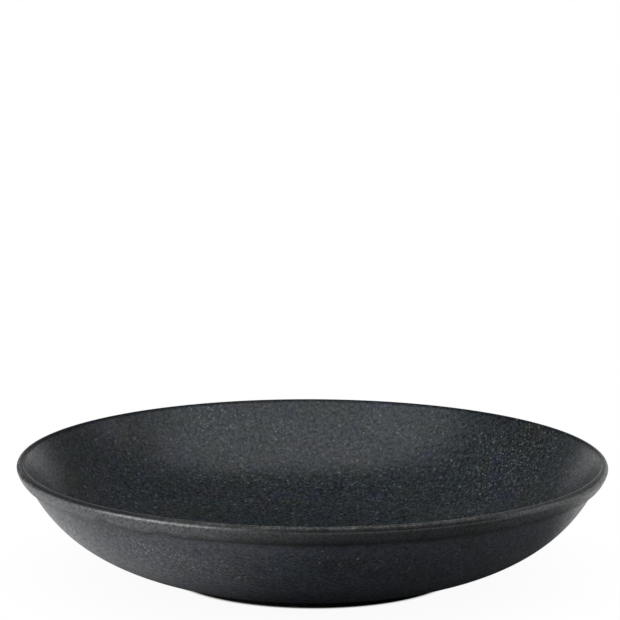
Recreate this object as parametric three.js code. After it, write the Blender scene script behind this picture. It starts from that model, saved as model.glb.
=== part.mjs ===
// Deep coupe bowl in glazed stoneware. Millimetres, +Z up.
// The origin is the middle of the foot ring's standing face.
//
// The bowl is one fired clay body under a thin fused glaze. The glaze is wiped off the foot ring before
// firing, which leaves two separate skins: one over the outside, the rim and the inside, and one in the
// recess inside the foot ring. Sizes are of the finished bowl, with its glaze on. Angles are in degrees
// above level, and a sweep is how far a curve's end handle reaches along the direction of that end.
import * as THREE from "three";

// Overall
const RIM_DIAMETER = 280;
const HEIGHT = 55;

// Glaze, and the clearance left between the clay and the back of the glaze that is fused to it
const GLAZE_THICKNESS = 0.35;
const GLAZE_CLEARANCE = 0.05;

// Rim: a rounded crest over a lip that leans in below it, to a tight edge over a creased ledge.
// A lean is how far the lip's face tips past upright, to face down.
const CREST_OUTER_RADIUS = 2.3;
const CREST_FLAT = 0.2;
const CREST_INNER_RADIUS = 1.1;
const LIP_RADIUS = 13;
const LIP_TOP_LEAN = 18;
const LIP_FOOT_LEAN = 42;
const LIP_EDGE_RADIUS = 0.8;
const LEDGE_ANGLE = 10;
const CREASE_RADIUS = 3.5;

// Outside of the wall, from the crease down to the foot
const WALL_TOP_ANGLE = 62;
const WALL_TOP_SWEEP = 20;
const WALL_FOOT_ANGLE = 12;
const WALL_FOOT_SWEEP = 39;

// Inside, from the crest down to the middle of the well
const INSIDE_RIM_ANGLE = 55;
const INSIDE_RIM_SWEEP = 54;
const WELL_SWEEP = 88;
const BASE_THICKNESS = 4.6;

// Foot ring and the recess inside it
const FOOT_DIAMETER = 140;
const FOOT_HEIGHT = 2.8;
const FOOT_RING_WIDTH = 5;
const FOOT_EDGE_RADIUS = 0.6;
const FOOT_FILLET_RADIUS = 1;
const RECESS_DEPTH = 2;
const RECESS_FILLET_RADIUS = 1;

// Facets: how many go round the bowl, the length of one along a sweep, and the length and turn along a round
const FACETS_ROUND = 56;
const SWEEP_FACET = 12;
const ROUND_FACET = 2.8;
const ROUND_TURN = 30;

const { degToRad } = THREE.MathUtils;

function point(radius, height) {
  return new THREE.Vector2(radius, height);
}

/** The point that lies a length away from a start, in a direction given in degrees above level. */
function along(start, direction, length) {
  const turn = degToRad(direction);
  return point(start.x + length * Math.cos(turn), start.y + length * Math.sin(turn));
}

/** A round from one direction to another, as seen from its centre. */
function round(centre, radius, from, to) {
  const clockwise = to < from;
  return new THREE.EllipseCurve(centre.x, centre.y, radius, radius, degToRad(from), degToRad(to), clockwise);
}

function stepsAlong(curve) {
  if (curve.isLineCurve) return 1;
  if (curve.isEllipseCurve) {
    const turn = Math.abs(curve.aEndAngle - curve.aStartAngle);
    return Math.ceil(Math.max(turn / degToRad(ROUND_TURN), curve.getLength() / ROUND_FACET));
  }
  return Math.ceil(curve.getLength() / SWEEP_FACET);
}

/** Points along joined curves, each with the direction that faces out of the clay there. */
function marksAlong(curves) {
  const marks = [];
  curves.forEach((curve, index) => {
    const steps = stepsAlong(curve);
    const first = index === 0 ? 0 : 1;
    for (let step = first; step <= steps; step += 1) {
      const tangent = curve.getTangentAt(step / steps);
      marks.push({ place: curve.getPointAt(step / steps), out: point(tangent.y, -tangent.x) });
    }
  });
  return marks;
}

/** The marked line set back by a depth. What is on the axis stays on it. */
function setBack(marks, depth) {
  return marks.map(({ place, out }) => {
    const radius = place.x === 0 ? 0 : place.x - depth * out.x;
    return point(radius, place.y - depth * out.y);
  });
}

const clayDepth = GLAZE_THICKNESS + GLAZE_CLEARANCE;
const rimRadius = RIM_DIAMETER / 2;
const footRadius = FOOT_DIAMETER / 2;
const recessRadius = footRadius - FOOT_RING_WIDTH;

/** Underside of the glaze in the recess: from the axis out to the foot ring, then down its inner face. */
function recessCurves() {
  const centre = point(recessRadius - RECESS_FILLET_RADIUS, RECESS_DEPTH - RECESS_FILLET_RADIUS);
  const fillet = round(centre, RECESS_FILLET_RADIUS, 90, 0);
  const glazeLine = point(recessRadius, FOOT_EDGE_RADIUS);
  return [
    new THREE.LineCurve(point(0, RECESS_DEPTH), fillet.getPoint(0)),
    fillet,
    new THREE.LineCurve(fillet.getPoint(1), glazeLine),
  ];
}

/** Bare clay of the standing ring: its inner edge, the flat that the bowl stands on, and its outer edge. */
function standingRingCurves() {
  const innerCentre = point(recessRadius + clayDepth + FOOT_EDGE_RADIUS, FOOT_EDGE_RADIUS);
  const outerCentre = point(footRadius - clayDepth - FOOT_EDGE_RADIUS, FOOT_EDGE_RADIUS);
  const innerEdge = round(innerCentre, FOOT_EDGE_RADIUS, 180, 270);
  const outerEdge = round(outerCentre, FOOT_EDGE_RADIUS, 270, 360);
  return [innerEdge, new THREE.LineCurve(innerEdge.getPoint(1), outerEdge.getPoint(0)), outerEdge];
}

/** Face of the main glaze: up the outside from the foot, over the rim and down to the middle of the well. */
function coatCurves() {
  const crestOuterCentre = point(rimRadius - CREST_OUTER_RADIUS, HEIGHT - CREST_OUTER_RADIUS);
  const crestOuter = round(crestOuterCentre, CREST_OUTER_RADIUS, 0, 90);
  const crestUnder = round(crestOuterCentre, CREST_OUTER_RADIUS, -LIP_TOP_LEAN, 0);
  const crestInnerCentre = point(crestOuterCentre.x - CREST_FLAT, HEIGHT - CREST_INNER_RADIUS);
  const crestInner = round(crestInnerCentre, CREST_INNER_RADIUS, 90, 90 + INSIDE_RIM_ANGLE);

  const lipCentre = along(crestOuterCentre, -LIP_TOP_LEAN, CREST_OUTER_RADIUS - LIP_RADIUS);
  const lip = round(lipCentre, LIP_RADIUS, -LIP_FOOT_LEAN, -LIP_TOP_LEAN);
  const edgeCentre = along(lipCentre, -LIP_FOOT_LEAN, LIP_RADIUS - LIP_EDGE_RADIUS);
  const lipEdge = round(edgeCentre, LIP_EDGE_RADIUS, LEDGE_ANGLE - 90, -LIP_FOOT_LEAN);
  const creaseCentre = along(edgeCentre, LEDGE_ANGLE - 90, LIP_EDGE_RADIUS + CREASE_RADIUS);
  const crease = round(creaseCentre, CREASE_RADIUS, WALL_TOP_ANGLE + 90, LEDGE_ANGLE + 90);

  const footCorner = point(footRadius, FOOT_HEIGHT);
  const filletReach = FOOT_FILLET_RADIUS * Math.tan(degToRad(90 - WALL_FOOT_ANGLE) / 2);
  const filletCentre = point(footRadius + FOOT_FILLET_RADIUS, FOOT_HEIGHT - filletReach);
  const footFillet = round(filletCentre, FOOT_FILLET_RADIUS, 180, 90 + WALL_FOOT_ANGLE);

  const wall = new THREE.CubicBezierCurve(
    footFillet.getPoint(1),
    along(footCorner, WALL_FOOT_ANGLE, WALL_FOOT_SWEEP),
    along(crease.getPoint(0), WALL_TOP_ANGLE, -WALL_TOP_SWEEP),
    crease.getPoint(0),
  );

  const wellMiddle = point(0, RECESS_DEPTH + BASE_THICKNESS);
  const inside = new THREE.CubicBezierCurve(
    crestInner.getPoint(1),
    along(crestInner.getPoint(1), INSIDE_RIM_ANGLE, -INSIDE_RIM_SWEEP),
    along(wellMiddle, 0, WELL_SWEEP),
    wellMiddle,
  );

  return [
    new THREE.LineCurve(point(footRadius, FOOT_EDGE_RADIUS), footFillet.getPoint(0)),
    footFillet,
    wall,
    crease,
    lipEdge,
    lip,
    crestUnder,
    crestOuter,
    new THREE.LineCurve(crestOuter.getPoint(1), crestInner.getPoint(0)),
    crestInner,
    inside,
  ];
}

/** A named solid of revolution, with its profile's heights standing along +Z. */
function turnedPiece(name, profile, material) {
  const geometry = new THREE.LatheGeometry(profile, FACETS_ROUND);
  geometry.rotateX(Math.PI / 2);
  const piece = new THREE.Mesh(geometry, material);
  piece.name = name;
  return piece;
}

const recessMarks = marksAlong(recessCurves());
const ringMarks = marksAlong(standingRingCurves());
const coatMarks = marksAlong(coatCurves());

// Each profile leaves the axis on one side of its piece and comes back to it on the other.
const clayProfile = [
  ...setBack(recessMarks, clayDepth),
  ...setBack(ringMarks, 0).slice(1, -1),
  ...setBack(coatMarks, clayDepth),
];
const coatProfile = [...setBack(coatMarks, GLAZE_THICKNESS).reverse(), ...setBack(coatMarks, 0)];
const recessProfile = [...setBack(recessMarks, 0), ...setBack(recessMarks, GLAZE_THICKNESS).reverse()];

const stoneware = new THREE.MeshStandardMaterial({ color: 0x8b8177, roughness: 0.9, metalness: 0 });
const darkGlaze = new THREE.MeshStandardMaterial({ color: 0x34373b, roughness: 0.42, metalness: 0 });

const bowl = new THREE.Group();
bowl.add(
  turnedPiece("stoneware_body", clayProfile, stoneware),
  turnedPiece("glaze_coat", coatProfile, darkGlaze),
  turnedPiece("foot_recess_glaze", recessProfile, darkGlaze),
);

export default bowl;
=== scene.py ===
"""Looks of a deep coupe bowl: stoneware under a dark, speckled satin glaze, on a pale studio floor."""

import math
from collections import namedtuple

import bpy
from mathutils import Matrix, Vector


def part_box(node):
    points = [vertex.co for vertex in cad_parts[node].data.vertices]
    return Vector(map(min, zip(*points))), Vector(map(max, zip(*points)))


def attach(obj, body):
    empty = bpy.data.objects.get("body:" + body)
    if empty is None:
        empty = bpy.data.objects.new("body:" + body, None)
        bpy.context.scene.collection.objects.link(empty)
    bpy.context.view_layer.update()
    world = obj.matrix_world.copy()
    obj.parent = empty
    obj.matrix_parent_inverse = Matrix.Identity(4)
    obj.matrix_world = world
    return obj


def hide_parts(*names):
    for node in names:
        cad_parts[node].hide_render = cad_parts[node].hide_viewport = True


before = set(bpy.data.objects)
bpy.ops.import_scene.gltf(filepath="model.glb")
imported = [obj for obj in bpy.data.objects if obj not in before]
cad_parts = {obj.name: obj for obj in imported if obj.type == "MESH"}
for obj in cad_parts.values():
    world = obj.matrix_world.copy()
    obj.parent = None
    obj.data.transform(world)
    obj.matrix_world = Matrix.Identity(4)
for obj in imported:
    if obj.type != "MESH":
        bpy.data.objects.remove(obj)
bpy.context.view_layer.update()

# Sizes of the bowl in metres. The outer ones come from the frame.
# A sweep is the length of a curve's handle.
GLAZE_LOW, GLAZE_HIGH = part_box("glaze_coat")
RIM_RADIUS = GLAZE_HIGH.x
HEIGHT = GLAZE_HIGH.z
FOOT_EDGE = GLAZE_LOW.z
GLAZE_THICKNESS = 0.00035
GLAZE_CLEARANCE = 0.00005
CLAY_DEPTH = GLAZE_THICKNESS + GLAZE_CLEARANCE

# Rim and lip. A lean is how far the lip's face tips past upright, to face down.
# The lip's lower edge and the crease under it are rounded a little differently from the solids'.
CREST_OUTER = 0.0023
CREST_FLAT = 0.0002
CREST_INNER = 0.0011
LIP_RADIUS = 0.013
LIP_TOP_LEAN = 18
LIP_FOOT_LEAN = 42
LIP_EDGE_RADIUS = 0.0018
LEDGE_ANGLE = 10
CREASE_RADIUS = 0.0028

# Wall, outside and inside
WALL_TOP_ANGLE = 62
WALL_TOP_SWEEP = 0.020
WALL_FOOT_ANGLE = 12
WALL_FOOT_SWEEP = 0.039
INSIDE_RIM_ANGLE = 55
INSIDE_RIM_SWEEP = 0.054
WELL_SWEEP = 0.088
WELL_HEIGHT = 0.0066

# Foot ring and the recess inside it
FOOT_RADIUS = 0.07
FOOT_HEIGHT = 0.0028
FOOT_FILLET = 0.001
RECESS_RADIUS = 0.065
RECESS_DEPTH = 0.002
RECESS_FILLET = 0.001

# Ways from the crest along the outside: to the top of the foot, and to the wall that the recess looks like
FOOT_TOP_WAY = -0.0924
RECESS_WAY = -0.06

# Mesh: steps round the bowl and along a stretch of an outline, and finish
TURN_STEPS = 240
OUTLINE_STEPS = 8
MERGE_DISTANCE = 0.000002
SMOOTH_ANGLE = 40

# Cuts in the long stretches of an outline, by the number of the stretch: the wall and the inside of the
# main glaze, the level part of the recess, and these three stretches of the clay
COAT_CUTS = {2: 3, 10: 5}
RECESS_CUTS = {0: 3}
CLAY_CUTS = {0: 3, 8: 3, 16: 5}

# Camera, worked out from the photograph's outline
CAMERA_PLACE = (-0.00143, -1.2853, 0.3427)
CAMERA_PITCH = 9.582
CAMERA_ROLL = 0.217
CAMERA_LENS = 160.536
CAMERA_SENSOR = 36

# Studio sweep, and its shades. A shade is full as far as one distance from its middle, and gone at another.
SWEEP_RADIUS = 2.6
SWEEP_BEND = 0.5
SWEEP_HEIGHT = 0.62
FLOOR_DROP = 0.00005
FLOOR_GREY = (0.42, 0.42, 0.42, 1)
WHITE = (1, 1, 1, 1)
CONTACT_SHADE_FULL = 0.0675
CONTACT_SHADE_GONE = 0.0715
CONTACT_SHADE_WHITE = 0.95
FAINT_SHADE_GONE = 0.17
FAINT_SHADE_WHITE = 0.05
UNDER_SHADE_MIDDLE = (0.01, 0, 0)
UNDER_SHADE_FULL = 0.080
UNDER_SHADE_GONE = 0.156
UNDER_SHADE_WHITE = 0.05
FRONT_SHADE_MIDDLE = (0.092, -0.105, 0)
FRONT_SHADE_FULL = 0.081
FRONT_SHADE_GONE = 0.184
DARKEST_SHADE = 0.008

# Lamps
AIM = Vector((0, 0, HEIGHT / 2))
WORLD_STRENGTH = 0.2
Lamp = namedtuple("Lamp", "name place width height power colour lights_floor")
LAMPS = [
    Lamp("left_key", (-0.97, -0.60, 0.40), 1.0, 0.7, 14.9, (1, 1, 1), False),
    Lamp("right_card", (1.38, 0.15, 0.7), 1.0, 0.8, 3.2, (1, 1, 1), False),
    Lamp("top_panel", (0.08, -0.48, 1.3), 2.6, 1.6, 17.0, (0.94, 0.98, 1), True),
]


# Outlines

Knot = namedtuple("Knot", "place direction reach_in reach_out")


def heading(direction):
    turn = math.radians(direction)
    return Vector((math.cos(turn), math.sin(turn)))


def round_reach(radius, turn):
    """Length of the handles with which a curve follows a round."""
    return radius * math.tan(math.radians(abs(turn)) / 4) * 4 / 3


def begin(place, direction):
    return [Knot(Vector(place), direction, 0, 0)]


def add_sweep(knots, place, direction, reach_out, reach_in):
    """Goes on from the last knot to a place, which the outline passes in a direction."""
    knots[-1] = knots[-1]._replace(reach_out=reach_out)
    knots.append(Knot(Vector(place), direction, reach_in, 0))


def add_line(knots, length):
    last = knots[-1]
    place = last.place + heading(last.direction) * length
    add_sweep(knots, place, last.direction, length / 3, length / 3)


def add_round(knots, radius, turn):
    """Turns left for a positive turn, and right for a negative one."""
    last = knots[-1]
    side = 90 if turn > 0 else -90
    centre = last.place + heading(last.direction + side) * radius
    place = centre + heading(last.direction + turn - side) * radius
    reach = round_reach(radius, turn)
    add_sweep(knots, place, last.direction + turn, reach, reach)


def set_back(knots, depth):
    """The same outline, a depth further into the wall. Its handles shorten or grow with its stretches."""
    places = [knot.place + heading(knot.direction + 90) * depth for knot in knots]
    places = [Vector((max(place.x, 0), place.y)) for place in places]
    moved = [knot._replace(place=place) for knot, place in zip(knots, places)]
    for index in range(len(knots) - 1):
        old_length = (knots[index + 1].place - knots[index].place).length
        share = (places[index + 1] - places[index]).length / old_length
        moved[index] = moved[index]._replace(reach_out=moved[index].reach_out * share)
        moved[index + 1] = moved[index + 1]._replace(reach_in=moved[index + 1].reach_in * share)
    return moved


def coat_outline():
    """Face of the main glaze: from the foot up the outside, over the rim and down to the well."""
    corner = math.radians(90 - WALL_FOOT_ANGLE)
    fillet_reach = FOOT_FILLET * math.tan(corner / 2)
    knots = begin((FOOT_RADIUS, FOOT_EDGE), 90)
    add_line(knots, FOOT_HEIGHT - fillet_reach - FOOT_EDGE)
    add_round(knots, FOOT_FILLET, WALL_FOOT_ANGLE - 90)

    crest_centre = Vector((RIM_RADIUS - CREST_OUTER, HEIGHT - CREST_OUTER))
    lip_centre = crest_centre + heading(-LIP_TOP_LEAN) * (CREST_OUTER - LIP_RADIUS)
    edge_centre = lip_centre + heading(-LIP_FOOT_LEAN) * (LIP_RADIUS - LIP_EDGE_RADIUS)
    crease_centre = edge_centre + heading(LEDGE_ANGLE - 90) * (LIP_EDGE_RADIUS + CREASE_RADIUS)
    wall_top = crease_centre + heading(WALL_TOP_ANGLE + 90) * CREASE_RADIUS
    add_sweep(knots, wall_top, WALL_TOP_ANGLE, WALL_FOOT_SWEEP - fillet_reach, WALL_TOP_SWEEP)
    add_round(knots, CREASE_RADIUS, LEDGE_ANGLE - WALL_TOP_ANGLE)
    add_round(knots, LIP_EDGE_RADIUS, 90 - LIP_FOOT_LEAN - LEDGE_ANGLE)
    add_round(knots, LIP_RADIUS, LIP_FOOT_LEAN - LIP_TOP_LEAN)
    add_round(knots, CREST_OUTER, LIP_TOP_LEAN)
    add_round(knots, CREST_OUTER, 90)
    add_line(knots, CREST_FLAT)
    add_round(knots, CREST_INNER, INSIDE_RIM_ANGLE)
    add_sweep(knots, (0, WELL_HEIGHT), 180, INSIDE_RIM_SWEEP, WELL_SWEEP)
    return knots


def recess_outline():
    """Face of the glaze under the bowl: from the axis out to the foot ring, then down its inner face."""
    knots = begin((0, RECESS_DEPTH), 0)
    add_line(knots, RECESS_RADIUS - RECESS_FILLET)
    add_round(knots, RECESS_FILLET, -90)
    add_line(knots, RECESS_DEPTH - RECESS_FILLET - FOOT_EDGE)
    return knots


def clay_outline():
    """The fired body: the recess, the bare standing ring, then all that the main glaze covers."""
    knots = set_back(recess_outline(), CLAY_DEPTH)
    coat = set_back(coat_outline(), CLAY_DEPTH)
    add_round(knots, FOOT_EDGE, 90)
    add_line(knots, coat[0].place.x - FOOT_EDGE - knots[-1].place.x)
    add_round(knots, FOOT_EDGE, 90)
    knots[-1] = knots[-1]._replace(reach_out=coat[0].reach_out)
    return knots + coat[1:]


# Modelling

def deselect():
    bpy.ops.object.select_all(action="DESELECT")


def drawn_outline(name, knots, cuts):
    """An outline as a mesh line in the XZ plane. Cuts give the extra points on its long stretches."""
    deselect()
    bpy.ops.curve.primitive_bezier_curve_add()
    curve = bpy.context.object
    curve.name = name
    curve.data.resolution_u = OUTLINE_STEPS
    spline = curve.data.splines[0]
    spline.bezier_points.add(len(knots) - 2)
    for point, knot in zip(spline.bezier_points, knots):
        ahead = heading(knot.direction)
        point.handle_left_type = "FREE"
        point.handle_right_type = "FREE"
        point.co = knot.place.x, 0, knot.place.y
        back_end = knot.place - ahead * knot.reach_in
        front_end = knot.place + ahead * knot.reach_out
        point.handle_left = back_end.x, 0, back_end.y
        point.handle_right = front_end.x, 0, front_end.y

    for stretch, count in sorted(cuts.items(), reverse=True):
        bpy.ops.object.mode_set(mode="EDIT")
        bpy.ops.curve.select_all(action="DESELECT")
        for point in curve.data.splines[0].bezier_points[stretch:stretch + 2]:
            point.select_control_point = True
            point.select_left_handle = True
            point.select_right_handle = True
        bpy.ops.curve.subdivide(number_cuts=count)
        bpy.ops.object.mode_set(mode="OBJECT")
    bpy.ops.object.convert(target="MESH")
    return bpy.context.object


def ways_from_crest(line):
    """Way of each point of the line from the crest along the surface: minus outside, plus inside."""
    places = [vertex.co for vertex in line.data.vertices]
    ways = [0.0]
    for before, after in zip(places, places[1:]):
        ways.append(ways[-1] + (after - before).length)
    crest = max(range(len(places)), key=lambda index: places[index].z)
    return [way - ways[crest] for way in ways]


def mark_from_crest(line, ways):
    mark = line.data.attributes.new("from_crest", "FLOAT", "POINT")
    for index, way in enumerate(ways):
        mark.data[index].value = way


def turn_round(line):
    """Turns a line once round the bowl's axis and closes the seam and the poles."""
    bpy.ops.object.mode_set(mode="EDIT")
    bpy.ops.mesh.select_all(action="SELECT")
    bpy.ops.mesh.spin(steps=TURN_STEPS, angle=math.tau, center=(0, 0, 0), axis=(0, 0, 1))
    bpy.ops.mesh.select_all(action="SELECT")
    bpy.ops.mesh.remove_doubles(threshold=MERGE_DISTANCE)
    bpy.ops.mesh.normals_make_consistent(inside=False)
    bpy.ops.object.mode_set(mode="OBJECT")


def apply(piece, kind, name, **settings):
    """Adds a modifier with its settings and applies it."""
    modifier = piece.modifiers.new(name, kind)
    for setting, value in settings.items():
        setattr(modifier, setting, value)
    bpy.ops.object.modifier_apply(modifier=name)


def finish_piece(piece, material, node):
    bpy.ops.object.shade_smooth_by_angle(angle=math.radians(SMOOTH_ANGLE))
    piece.data.materials.clear()
    piece.data.materials.append(material)
    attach(piece, "root")
    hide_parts(node)
    return piece


def make_main_glaze(material):
    piece = drawn_outline("main_glaze", coat_outline(), COAT_CUTS)
    mark_from_crest(piece, ways_from_crest(piece))
    turn_round(piece)
    apply(piece, "SOLIDIFY", "coat", thickness=GLAZE_THICKNESS, offset=-1, use_even_offset=True)
    return finish_piece(piece, material, "glaze_coat")


def make_recess_glaze(material):
    piece = drawn_outline("recess_glaze", recess_outline(), RECESS_CUTS)
    mark_from_crest(piece, [RECESS_WAY] * len(piece.data.vertices))
    turn_round(piece)
    apply(piece, "SOLIDIFY", "coat", thickness=GLAZE_THICKNESS, offset=-1, use_even_offset=True)
    return finish_piece(piece, material, "foot_recess_glaze")


def make_clay_body(material):
    piece = drawn_outline("clay_body", clay_outline(), CLAY_CUTS)
    turn_round(piece)
    return finish_piece(piece, material, "stoneware_body")


# Materials

# Glaze colours
SLATE = (0.0066, 0.0100, 0.0124, 1)
NIGHT = (0.0157, 0.0200, 0.0296, 1)
INDIGO = (0.0066, 0.0086, 0.021, 1)
PLUM = (0.0104, 0.0095, 0.0138, 1)
OLIVE = (0.0088, 0.0104, 0.0078, 1)
GRAIN = (0.036, 0.049, 0.054, 1)
PALE_GRAIN = (0.066, 0.079, 0.081, 1)
CRYSTAL = (0.120, 0.135, 0.139, 1)
OUTER_CRYSTAL = (0.21, 0.225, 0.24, 1)
RIM_BROWN = (0.0090, 0.0086, 0.0080, 1)
# Pale break of the lip, laid only on its lit sides: partly a glaze break, partly painted highlight
RIM_BREAK_HIGHLIGHT = (0.080, 0.083, 0.086, 1)
# Painted highlight line along the crest's inner edge
RIM_LINE_HIGHLIGHT = (0.100, 0.098, 0.085, 1)
POOL = (0.030, 0.034, 0.043, 1)

# Clay colours
DARK_CLAY = (0.17, 0.14, 0.11, 1)
PALE_CLAY = (0.29, 0.25, 0.205, 1)

# Noises: the size of their patches, how many finer layers they have, and how strong these are
Noise = namedtuple("Noise", "size detail roughness")
WANDER_NOISE = Noise(0.012, 3, 0.5)
GRIT_NOISE = Noise(0.0016, 2, 0.65)
SCATTER_NOISE = Noise(0.03, 2, 0.5)
PATCH_NOISE = Noise(0.006, 3, 0.6)
SAND_NOISE = Noise(0.0010, 2, 0.7)
DOT_NOISE = Noise(0.0014, 2, 0.7)
PEEL_NOISE = Noise(0.0008, 2, 0.6)
SATIN_NOISE = Noise(0.0016, 3, 0.65)
SHINE_NOISE = Noise(0.0015, 2, 0.6)
CLAY_NOISE = Noise(0.0008, 4, 0.7)

# Cloudy tints of the glaze: each shows where its noise goes from start to full
Cloud = namedtuple("Cloud", "colour place noise start full strength")
CLOUDS = [
    Cloud(OLIVE, "aside", Noise(0.021, 3, 0.6), 0.50, 0.68, 0.7),
    Cloud(INDIGO, "place", Noise(0.014, 2, 0.5), 0.54, 0.70, 0.75),
    Cloud(PLUM, "beyond", Noise(0.016, 2, 0.5), 0.55, 0.70, 0.6),
]

# Specks: the spacing of their cells, the share of these that they fill at most, and their size in a cell
Specks = namedtuple("Specks", "spacing share size")
FINE_SPECKS = Specks(0.0016, 0.75, 0.62)
PALE_SPECKS = Specks(0.0030, 0.4, 0.40)
CRYSTALS = Specks(0.0014, 1, 0.45)
SMALLEST_GRAIN = 0.5
GRAIN_CORE = 0.4
FAINTEST_GRAIN = 0.35

# Middle and reach of the places where crystals gather
CLUSTERS = [
    ((-0.051, 0.121, 0.047), 0.024),
    ((-0.016, 0.126, 0.042), 0.009),
    ((0.100, 0.072, 0.037), 0.036),
    ((0.116, 0.065, 0.049), 0.018),
    ((-0.071, -0.105, 0.034), 0.020),
    ((-0.054, -0.111, 0.030), 0.020),
    ((-0.036, -0.116, 0.028), 0.018),
    ((0.008, -0.130, 0.039), 0.008),
    ((0.088, -0.106, 0.052), 0.016),
]
CLUSTER_CORE = 0.2
CLUSTER_SHARE = 0.9

# Shifts of the patterns, so that they don't follow each other, and the squeeze of the grains outside
ASIDE = (0.4, 0.1, 0.7)
BEYOND = (0.9, 0.5, 0.2)
STREAK = (1, 1, 2.4)

# Ramps over the noises: the low and the high end of the noise, then what these give
WANDER = (0.2, 0.8, -0.003, 0.003)
GRIT = (0.36, 0.64, 0.15, 2.2)
SCATTER = (0.52, 0.7, 0.02, 0.15)
LINE_PATCHES = (0.36, 0.6, 0.3, 1)
LINE_SAND = (0.4, 0.6, 0.35, 1)
DOTS = (0.36, 0.62, 0.25, 1)
SATIN = (0.3, 0.7, 0.25, 0.35)
BODY_SHINE = (0.32, 0.68, 0.55, 1.0)
LIP_SHINE = (0.38, 0.62, 0.5, 1.0)
WORN_PATCHES = (0.3, 0.65, 1, 0.6)
CLAY_GRIT = (0.35, 0.7)

# Ramps along the way from the crest, which is minus outside: the inside, the specks' cover, and the foot's
# outer face, which gets painted shade
INSIDE = (-0.001, 0.001)
INSIDE_COVER = (0.002, 0.026, 0.2, 1)
OUTSIDE_COVER = (-0.011, -0.019, 0.12, 0.8)
PAINTED_FOOT_SHADE = (FOOT_TOP_WAY, FOOT_TOP_WAY - 0.0010)

# Bands round the rim: ramps along the way from the crest, for the outer and the inner edge of each
Band = namedtuple("Band", "outer inner")
LIP_BAND = Band((-0.0145, -0.0105), (0.0012, 0.0))
# Bands of the pale lip break, laid on the lit left front and the right front as painted highlight
PALE_LIP_BAND = Band((-0.0105, -0.0065), (-0.0018, -0.0032))
FAIR_LIP_BAND = Band((-0.0105, -0.0065), (-0.0002, -0.0010))
# The groove under the lip, where the coat is lowered as painted shade
UNDER_LIP_BAND = Band((-0.0160, -0.0110), (-0.0058, -0.0100))
POOL_BAND = Band((-0.020, -0.0145), (-0.0105, -0.0135))
# The crest's outer round, where the coat is lowered: partly wear, partly painted shade
CREST_BAND = Band((-0.0026, -0.0019), (-0.0011, -0.0018))
# Crest top on the far rim, where the coat is lowered as painted shade
FAR_CREST_BAND = Band((-0.0014, -0.0007), (0.0026, 0.0014))
# The crest's inner edge, where the painted highlight line is laid on the front of the rim
LINE_BAND = Band((-0.0021, -0.0012), (0.0016, 0.0008))

# Sides of the bowl: a place on the rim, and a ramp over the distance from it
Side = namedtuple("Side", "middle change")
FRONT_RIM = (0.02, -0.137, 0.055)
# Where the key lamp's highlight falls on the rim
KEY_HIGHLIGHT_RIM = (-0.075, -0.115, 0.053)
# Lit sides of the lip, where the pale break is laid as painted highlight
LIT_LEFT_LIP = Side((-0.09, -0.10, 0.05), (0.09, 0.03, 0.1, 1))
LIT_RIGHT_LIP = Side((0.105, -0.085, 0.05), (0.06, 0.02, 0, 0.5))
# The crest away from its right front, where the painted highlight line and the crest's painted shade are
# laid
CREST_AWAY_FROM_RIGHT = Side((0.125, -0.06, 0.05), (0.045, 0.09))
# Near the key lamp's highlight the crest's painted shade is weaker and ends higher
LOW_CREST = Side(KEY_HIGHLIGHT_RIM, (0.05, 0.08, 0, 0.0010))
WORN_AND_SHADED_CREST = Side(KEY_HIGHLIGHT_RIM, (0.05, 0.08, 0.4, 0.9))
FRONT_LINE = Side(FRONT_RIM, (0.11, 0.05))
# The far side of the rim from the front, where the crest's painted shade is laid
FAR_CREST = Side(FRONT_RIM, (0.15, 0.23, 0, 0.65))

# Strength of the glaze's finishes, and of the painted shade on the foot and under the lip
BROWN_SHARE = 0.8
POOL_SHARE = 0.7
# Painted shade on the foot's outer face: its colour and its coat are turned down there
FOOT_SHADE_COLOUR = 0.2
FOOT_SHADE_SHINE = 0.2
UNDER_LIP_SHADE_SHINE = 0.7
CREST_ROUGHNESS = 0.15
GRAIN_RELIEF = 0.3

Surface = namedtuple("Surface", "tree place aside beyond way rough_way inside")
Rim = namedtuple("Rim", "lip lip_break line crest far_crest under_lip pool foot patches sand")


def new_material(name):
    material = bpy.data.materials.new(name)
    material.use_nodes = True
    tree = material.node_tree
    tree.nodes.clear()
    return material, tree


def put(tree, kind, inputs=None, **settings):
    """Adds a node. An input is given by its name or number, as a value or as another node's socket."""
    node = tree.nodes.new(kind)
    for setting, value in settings.items():
        setattr(node, setting, value)
    for key, value in (inputs or {}).items():
        if isinstance(value, bpy.types.NodeSocket):
            tree.links.new(value, node.inputs[key])
        else:
            node.inputs[key].default_value = value
    return node


def blend(tree, share, first, second):
    """Mixes two colours by a share from 0 to 1."""
    node = put(tree, "ShaderNodeMix", {0: share, 6: first, 7: second}, data_type="RGBA")
    return node.outputs[2]


def ramp(tree, value, low, high, bottom=0.0, top=1.0):
    """Goes smoothly from bottom to top while a value goes from low to high."""
    inputs = {"Value": value, "From Min": low, "From Max": high, "To Min": bottom, "To Max": top}
    node = put(tree, "ShaderNodeMapRange", inputs, interpolation_type="SMOOTHSTEP")
    return node.outputs["Result"]


def work(tree, operation, first, second):
    return put(tree, "ShaderNodeMath", {0: first, 1: second}, operation=operation).outputs[0]


def product(tree, first, *others):
    for other in others:
        first = work(tree, "MULTIPLY", first, other)
    return first


def mix(tree, share, first, second):
    """Mixes two values by a share from 0 to 1."""
    return put(tree, "ShaderNodeMix", {0: share, 2: first, 3: second}).outputs[0]


def distance(tree, place, middle):
    node = put(tree, "ShaderNodeVectorMath", {0: place, 1: middle}, operation="DISTANCE")
    return node.outputs["Value"]


def scaled(tree, colour, factor):
    return put(tree, "ShaderNodeVectorMath", {0: colour, "Scale": factor}, operation="SCALE").outputs[0]


def noise(tree, place, kind):
    inputs = {
        "Vector": place,
        "Scale": 1 / kind.size,
        "Detail": kind.detail,
        "Roughness": kind.roughness,
    }
    return put(tree, "ShaderNodeTexNoise", inputs).outputs["Fac"]


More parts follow.
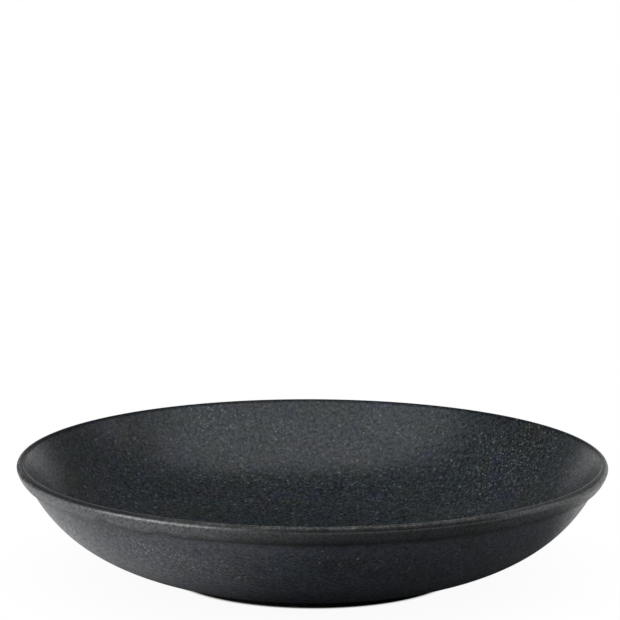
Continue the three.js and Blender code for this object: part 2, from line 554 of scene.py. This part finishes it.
def specks_group():
    """Mask of the glaze's grains, at most one to a cell, with a share of the cells filled."""
    group = bpy.data.node_groups.new("glaze_specks", "ShaderNodeTree")
    group.interface.new_socket("Place", in_out="INPUT", socket_type="NodeSocketVector")
    group.interface.new_socket("Cells per metre", in_out="INPUT", socket_type="NodeSocketFloat")
    group.interface.new_socket("Share", in_out="INPUT", socket_type="NodeSocketFloat")
    group.interface.new_socket("Size", in_out="INPUT", socket_type="NodeSocketFloat")
    group.interface.new_socket("Mask", in_out="OUTPUT", socket_type="NodeSocketFloat")
    entry = put(group, "NodeGroupInput").outputs
    inputs = {"Vector": entry["Place"], "Scale": entry["Cells per metre"]}
    cells = put(group, "ShaderNodeTexVoronoi", inputs)
    chance = put(group, "ShaderNodeSeparateColor", {"Color": cells.outputs["Color"]}).outputs
    filled = work(group, "LESS_THAN", chance["Red"], entry["Share"])
    spread = ramp(group, chance["Green"], 0, 1, SMALLEST_GRAIN, 1)
    edge = work(group, "MULTIPLY", entry["Size"], spread)
    core = work(group, "MULTIPLY", edge, GRAIN_CORE)
    grain = ramp(group, cells.outputs["Distance"], edge, core)
    strength = ramp(group, chance["Blue"], 0, 1, FAINTEST_GRAIN, 1)
    mask = product(group, grain, filled, strength)
    put(group, "NodeGroupOutput", {"Mask": mask})
    return group


def specks(tree, group, place, kind, cover):
    inputs = {
        "Place": place,
        "Cells per metre": 1 / kind.spacing,
        "Share": work(tree, "MULTIPLY", cover, kind.share),
        "Size": kind.size,
    }
    return put(tree, "ShaderNodeGroup", inputs, node_tree=group).outputs["Mask"]



def glaze_surface(tree):
    """What the glaze's patterns read: places, ways from the crest, and a switch to the inside."""
    place = put(tree, "ShaderNodeTexCoord").outputs["Object"]
    aside = put(tree, "ShaderNodeMapping", {"Vector": place, "Location": ASIDE}).outputs[0]
    beyond = put(tree, "ShaderNodeMapping", {"Vector": place, "Location": BEYOND}).outputs[0]
    way = put(tree, "ShaderNodeAttribute", attribute_name="from_crest").outputs["Fac"]
    wander = ramp(tree, noise(tree, place, WANDER_NOISE), *WANDER)
    rough_way = work(tree, "ADD", way, wander)
    inside = ramp(tree, way, *INSIDE)
    return Surface(tree, place, aside, beyond, way, rough_way, inside)


def band(surface, shape, outer_way, inner_way):
    outer = ramp(surface.tree, outer_way, *shape.outer)
    inner = ramp(surface.tree, inner_way, *shape.inner)
    return work(surface.tree, "MULTIPLY", outer, inner)


def on_side(surface, side):
    return ramp(surface.tree, distance(surface.tree, surface.place, side.middle), *side.change)


def clouded_colour(surface):
    tree = surface.tree
    colour = blend(tree, surface.inside, NIGHT, SLATE)
    for cloud in CLOUDS:
        pattern = noise(tree, getattr(surface, cloud.place), cloud.noise)
        share = ramp(tree, pattern, cloud.start, cloud.full, 0, cloud.strength)
        colour = blend(tree, share, colour, cloud.colour)
    return colour


def crystal_cover(surface, cover):
    """Share of the cells that hold a crystal: few of them all over, and most of them where they gather."""
    tree = surface.tree
    scatter = ramp(tree, noise(tree, surface.aside, SCATTER_NOISE), *SCATTER)
    share = work(tree, "MULTIPLY", scatter, cover)
    for middle, reach in CLUSTERS:
        away = distance(tree, surface.place, middle)
        gathered = ramp(tree, away, reach, reach * CLUSTER_CORE, 0, CLUSTER_SHARE)
        share = work(tree, "MAXIMUM", share, gathered)
    return share


def speckled_colour(surface, colour, group):
    """The colour with its grit, grains and crystals, and the mask of the grains."""
    tree = surface.tree
    inside_cover = ramp(tree, surface.rough_way, *INSIDE_COVER)
    outside_cover = ramp(tree, surface.rough_way, *OUTSIDE_COVER)
    cover = mix(tree, surface.inside, outside_cover, inside_cover)
    streaked = put(tree, "ShaderNodeMapping", {"Vector": surface.place, "Scale": STREAK}).outputs[0]
    places = {0: surface.inside, 4: streaked, 5: surface.place}
    grain_place = put(tree, "ShaderNodeMix", places, data_type="VECTOR").outputs[1]

    grit = noise(tree, grain_place, GRIT_NOISE)
    colour = scaled(tree, colour, ramp(tree, grit, *GRIT))
    fine = specks(tree, group, grain_place, FINE_SPECKS, cover)
    pale = specks(tree, group, surface.aside, PALE_SPECKS, cover)
    crystals = specks(tree, group, surface.place, CRYSTALS, crystal_cover(surface, cover))
    colour = blend(tree, fine, colour, GRAIN)
    colour = blend(tree, pale, colour, PALE_GRAIN)
    colour = blend(tree, crystals, colour, blend(tree, surface.inside, OUTER_CRYSTAL, CRYSTAL))
    return colour, work(tree, "ADD", fine, pale)


def rim_bands(surface):
    tree = surface.tree
    way = surface.way
    rough_way = surface.rough_way
    patches = noise(tree, surface.beyond, PATCH_NOISE)
    sand = noise(tree, surface.beyond, SAND_NOISE)
    away_from_right = on_side(surface, CREST_AWAY_FROM_RIGHT)
    crest_way = work(tree, "ADD", way, on_side(surface, LOW_CREST))
    broken = product(tree, ramp(tree, patches, *LINE_PATCHES), ramp(tree, sand, *LINE_SAND))
    # Painted highlight line on the crest's inner edge: on the front, not the right, and broken into dots
    line = product(tree, band(surface, LINE_BAND, way, way), on_side(surface, FRONT_LINE), away_from_right, broken)
    # The pale lip break is laid only on the lit left front and right front: painted highlight
    pale = product(tree, band(surface, PALE_LIP_BAND, rough_way, way), on_side(surface, LIT_LEFT_LIP))
    right_lip_highlight = product(tree, band(surface, FAIR_LIP_BAND, rough_way, way), on_side(surface, LIT_RIGHT_LIP))
    return Rim(
        lip=band(surface, LIP_BAND, rough_way, way),
        lip_break=work(tree, "MAXIMUM", pale, right_lip_highlight),
        line=line,
        crest=product(tree, band(surface, CREST_BAND, crest_way, way), away_from_right),
        far_crest=product(tree, band(surface, FAR_CREST_BAND, way, way), on_side(surface, FAR_CREST)),
        under_lip=band(surface, UNDER_LIP_BAND, way, way),
        pool=band(surface, POOL_BAND, rough_way, rough_way),
        foot=ramp(tree, way, *PAINTED_FOOT_SHADE),
        patches=patches,
        sand=sand,
    )


def rim_colour(surface, rim, colour):
    """The colour with the brown break of the rim, a pale lip break that is partly painted highlight, a
    painted highlight line on the crest, the pool under the lip and painted shade on the foot.
    """
    tree = surface.tree
    dots = ramp(tree, noise(tree, surface.place, DOT_NOISE), *DOTS)
    colour = blend(tree, work(tree, "MULTIPLY", rim.lip, BROWN_SHARE), colour, RIM_BROWN)
    # Pale lip break, partly painted highlight
    colour = blend(tree, work(tree, "MULTIPLY", rim.lip_break, dots), colour, RIM_BREAK_HIGHLIGHT)
    # Painted highlight line on the crest
    colour = blend(tree, work(tree, "MULTIPLY", rim.line, dots), colour, RIM_LINE_HIGHLIGHT)
    colour = blend(tree, product(tree, rim.pool, dots, POOL_SHARE), colour, POOL)
    # The foot's outer face is darkened: painted shade
    return scaled(tree, colour, ramp(tree, rim.foot, 0, 1, 1, FOOT_SHADE_COLOUR))


def glaze_gloss(surface, rim):
    """Weight of the clear coat: patchy all over and sandy on the lip. It is lowered on the crest, partly
    for wear and partly as painted shade, and as painted shade on the far crest, under the lip and on the
    foot.
    """
    tree = surface.tree
    body = ramp(tree, noise(tree, surface.aside, SHINE_NOISE), *BODY_SHINE)
    lip = ramp(tree, rim.sand, *LIP_SHINE)
    # Crest coat lowered, partly for wear and partly as painted shade, weaker near the key lamp's highlight
    worn_and_shaded = product(tree, rim.crest, on_side(surface, WORN_AND_SHADED_CREST), ramp(tree, rim.patches, *WORN_PATCHES))
    # Painted shade on the far crest: less coat there
    whole = work(tree, "SUBTRACT", 1, work(tree, "MAXIMUM", worn_and_shaded, rim.far_crest))
    # Painted shade in the groove under the lip: less coat there
    under_lip = ramp(tree, rim.under_lip, 0, 1, 1, UNDER_LIP_SHADE_SHINE)
    # Painted shade on the foot's outer face: less coat there
    foot = ramp(tree, rim.foot, 0, 1, 1, FOOT_SHADE_SHINE)
    return product(tree, mix(tree, rim.lip, body, lip), whole, under_lip, foot)


def glaze_material(speck_nodes):
    material, tree = new_material("dark_speckled_glaze")
    surface = glaze_surface(tree)
    rim = rim_bands(surface)
    colour, grains = speckled_colour(surface, clouded_colour(surface), speck_nodes)
    peel = noise(tree, surface.aside, PEEL_NOISE)
    relief = work(tree, "ADD", peel, work(tree, "MULTIPLY", grains, GRAIN_RELIEF))
    bump = put(tree, "ShaderNodeBump", {"Strength": 0.7, "Distance": 0.0003, "Height": relief})
    satin = ramp(tree, noise(tree, surface.place, SATIN_NOISE), *SATIN)
    shader = put(tree, "ShaderNodeBsdfPrincipled", {
        "Base Color": rim_colour(surface, rim, colour),
        "Roughness": work(tree, "ADD", satin, work(tree, "MULTIPLY", rim.crest, CREST_ROUGHNESS)),
        "Specular IOR Level": 0.0,
        "Coat Weight": glaze_gloss(surface, rim),
        "Coat Roughness": 0.3,
        "Coat IOR": 1.55,
        "Normal": bump.outputs["Normal"],
    })
    put(tree, "ShaderNodeOutputMaterial", {"Surface": shader.outputs["BSDF"]})
    return material


def clay_material():
    material, tree = new_material("bare_stoneware")
    place = put(tree, "ShaderNodeTexCoord").outputs["Object"]
    grit = noise(tree, place, CLAY_NOISE)
    bump = put(tree, "ShaderNodeBump", {"Strength": 0.5, "Distance": 0.00012, "Height": grit})
    shader = put(tree, "ShaderNodeBsdfPrincipled", {
        "Base Color": blend(tree, ramp(tree, grit, *CLAY_GRIT), DARK_CLAY, PALE_CLAY),
        "Roughness": 0.9,
        "Specular IOR Level": 0.3,
        "Normal": bump.outputs["Normal"],
    })
    put(tree, "ShaderNodeOutputMaterial", {"Surface": shader.outputs["BSDF"]})
    return material


# Studio

def studio_material():
    """A pale floor that shows its shadows near the bowl, and is plain white further out and up the sweep.

    Each ramp is the share of white. What the bowl mirrors has a wider dark zone than what the camera sees.
    """
    material, tree = new_material("studio_sweep")
    material.cycles.emission_sampling = "NONE"
    place = put(tree, "ShaderNodeTexCoord").outputs["Object"]
    from_axis = distance(tree, place, (0, 0, 0))
    contact = ramp(tree, from_axis, CONTACT_SHADE_FULL, CONTACT_SHADE_GONE, 0, CONTACT_SHADE_WHITE)
    faint = ramp(tree, from_axis, CONTACT_SHADE_GONE, FAINT_SHADE_GONE, 0, FAINT_SHADE_WHITE)
    from_under = distance(tree, place, UNDER_SHADE_MIDDLE)
    under = ramp(tree, from_under, UNDER_SHADE_FULL, UNDER_SHADE_GONE, UNDER_SHADE_WHITE)
    from_front = distance(tree, place, FRONT_SHADE_MIDDLE)
    front = ramp(tree, from_front, FRONT_SHADE_FULL, FRONT_SHADE_GONE)
    shade = work(tree, "MAXIMUM", work(tree, "MULTIPLY", under, front), DARKEST_SHADE)

    path = put(tree, "ShaderNodeLightPath").outputs
    seen = work(tree, "MULTIPLY", path["Is Camera Ray"], work(tree, "ADD", contact, faint))
    mirrored = work(tree, "MAXIMUM", path["Is Glossy Ray"], path["Is Transmission Ray"])
    share = work(tree, "MAXIMUM", seen, work(tree, "MULTIPLY", mirrored, shade))
    floor = put(tree, "ShaderNodeBsdfDiffuse", {"Color": FLOOR_GREY}).outputs[0]
    white = put(tree, "ShaderNodeEmission", {"Color": WHITE, "Strength": 1.0}).outputs[0]
    surface = put(tree, "ShaderNodeMixShader", {0: share, 1: floor, 2: white}).outputs[0]
    put(tree, "ShaderNodeOutputMaterial", {"Surface": surface})
    return material


def make_studio():
    knots = begin((0, -FLOOR_DROP), 0)
    add_line(knots, SWEEP_RADIUS - SWEEP_BEND)
    add_round(knots, SWEEP_BEND, 90)
    add_line(knots, SWEEP_HEIGHT - SWEEP_BEND)
    floor = drawn_outline("studio_sweep", knots, {})
    turn_round(floor)
    floor.data.materials.append(studio_material())


def make_lamps(pieces):
    """Area lamps that face the bowl. One that doesn't light the floor is kept to the bowl's own pieces."""
    bowl = bpy.data.collections.new("bowl_pieces")
    for piece in pieces:
        bowl.objects.link(piece)
    for lamp in LAMPS:
        place = Vector(lamp.place)
        turn = (place - AIM).to_track_quat("Z", "Y").to_euler()
        deselect()
        bpy.ops.object.light_add(type="AREA", location=place, rotation=turn)
        light = bpy.context.object
        light.name = lamp.name
        light.visible_camera = False
        light.data.shape = "RECTANGLE"
        light.data.size = lamp.width
        light.data.size_y = lamp.height
        light.data.energy = lamp.power
        light.data.color = lamp.colour
        if not lamp.lights_floor:
            light.light_linking.receiver_collection = bowl


def make_world():
    world = bpy.data.worlds.new("studio_air")
    world.use_nodes = True
    background = world.node_tree.nodes["Background"]
    background.inputs["Color"].default_value = WHITE
    background.inputs["Strength"].default_value = WORLD_STRENGTH
    bpy.context.scene.world = world


def make_camera():
    pitch = Matrix.Rotation(math.radians(90 - CAMERA_PITCH), 3, "X")
    roll = Matrix.Rotation(math.radians(CAMERA_ROLL), 3, "Z")
    deselect()
    bpy.ops.object.camera_add(location=CAMERA_PLACE, rotation=(pitch @ roll).to_euler())
    camera = bpy.context.object
    camera.data.lens = CAMERA_LENS
    camera.data.sensor_width = CAMERA_SENSOR
    bpy.context.scene.camera = camera


make_camera()
speck_nodes = specks_group()
glaze = glaze_material(speck_nodes)
pieces = [make_main_glaze(glaze), make_recess_glaze(glaze), make_clay_body(clay_material())]
make_studio()
make_lamps(pieces)
make_world()
bpy.context.scene.view_settings.view_transform = "Standard"
